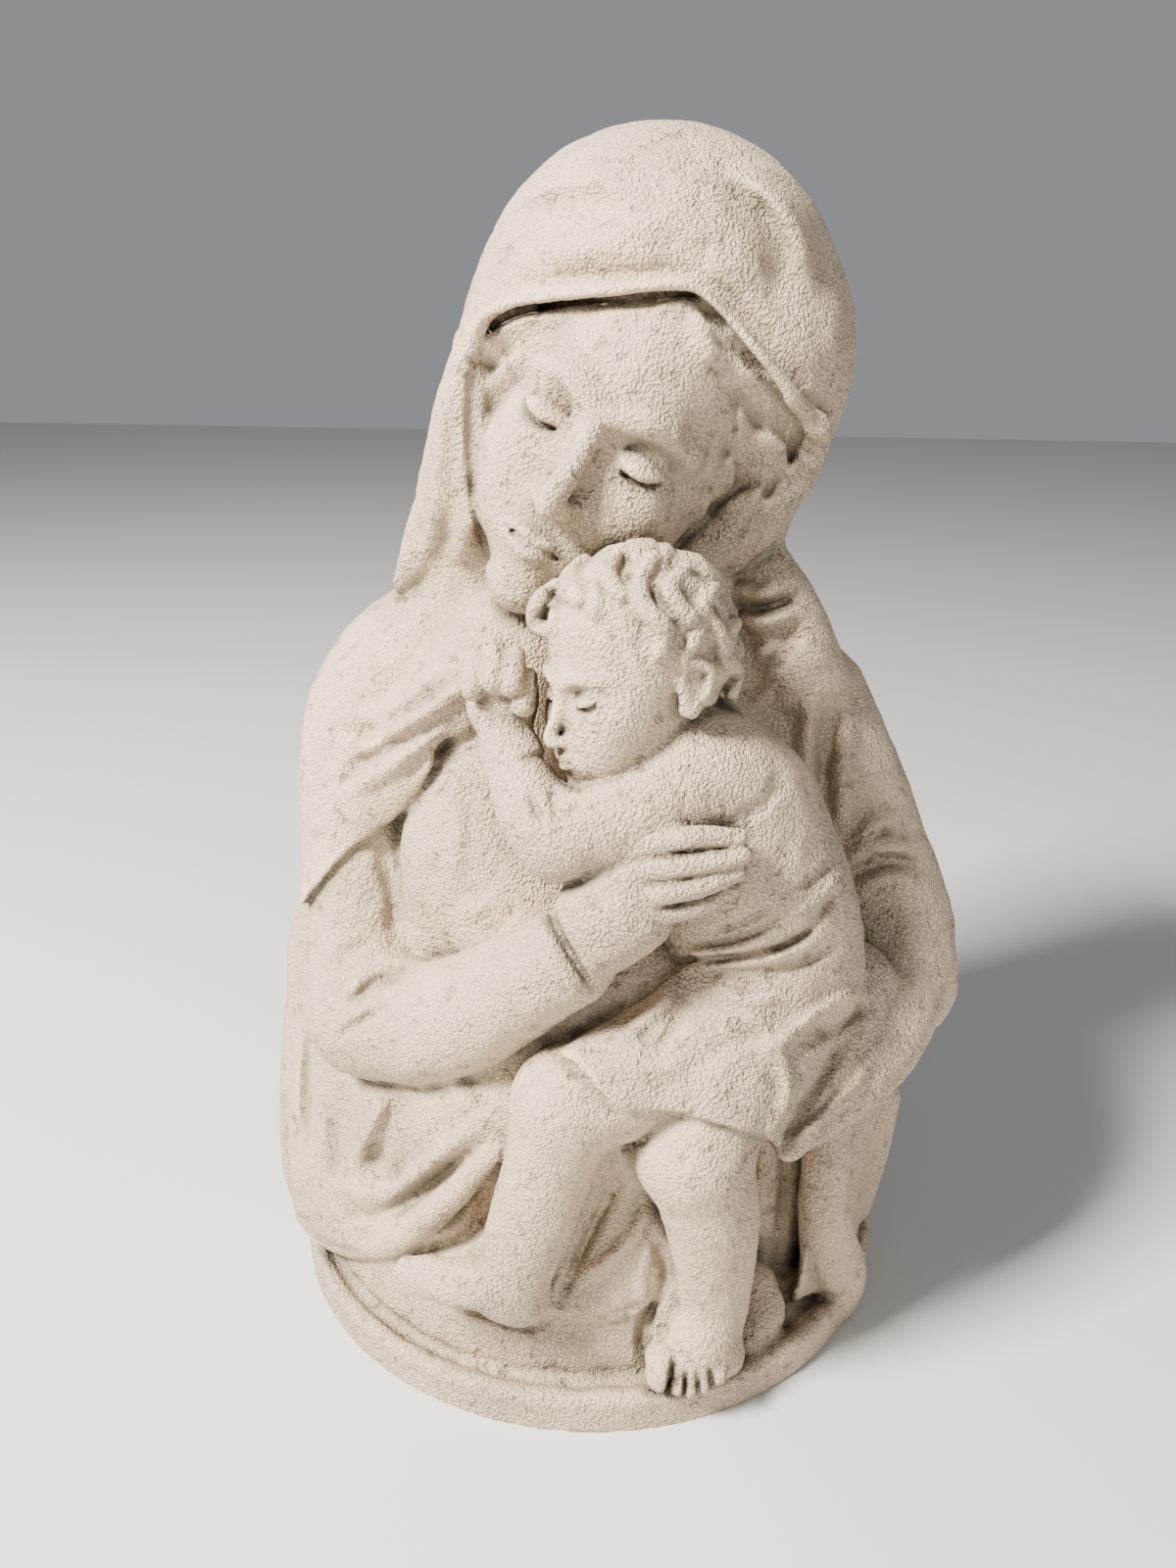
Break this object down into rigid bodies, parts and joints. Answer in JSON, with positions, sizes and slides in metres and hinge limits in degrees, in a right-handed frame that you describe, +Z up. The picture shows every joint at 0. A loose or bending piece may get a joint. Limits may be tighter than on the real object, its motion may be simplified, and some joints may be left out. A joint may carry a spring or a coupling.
{
  "type": "madonna and child statue",
  "caption": "Cast stone statue of a hooded mother who bends over the child on her arm, in one piece with a low round base, for a shelf or niche.",
  "frame": {"origin": "middle of the flat underside of the round base, 3 mm towards -X of the base's own centre, under the figure's trunk", "axes": "+Z up, -Y towards the viewer whom the figure faces, +X to that viewer's right"},
  "size_m": [0.2303, 0.2079, 0.3618],
  "materials": {
    "cast_stone": "matte sandy cast stone, warm beige on raised areas, browner and grey-green in the hollows, with dark dirt in the crevices"
  },
  "bodies": {
    "root": {"mother_and_child_statue": "cast_stone"}
  },
  "joints": []
}
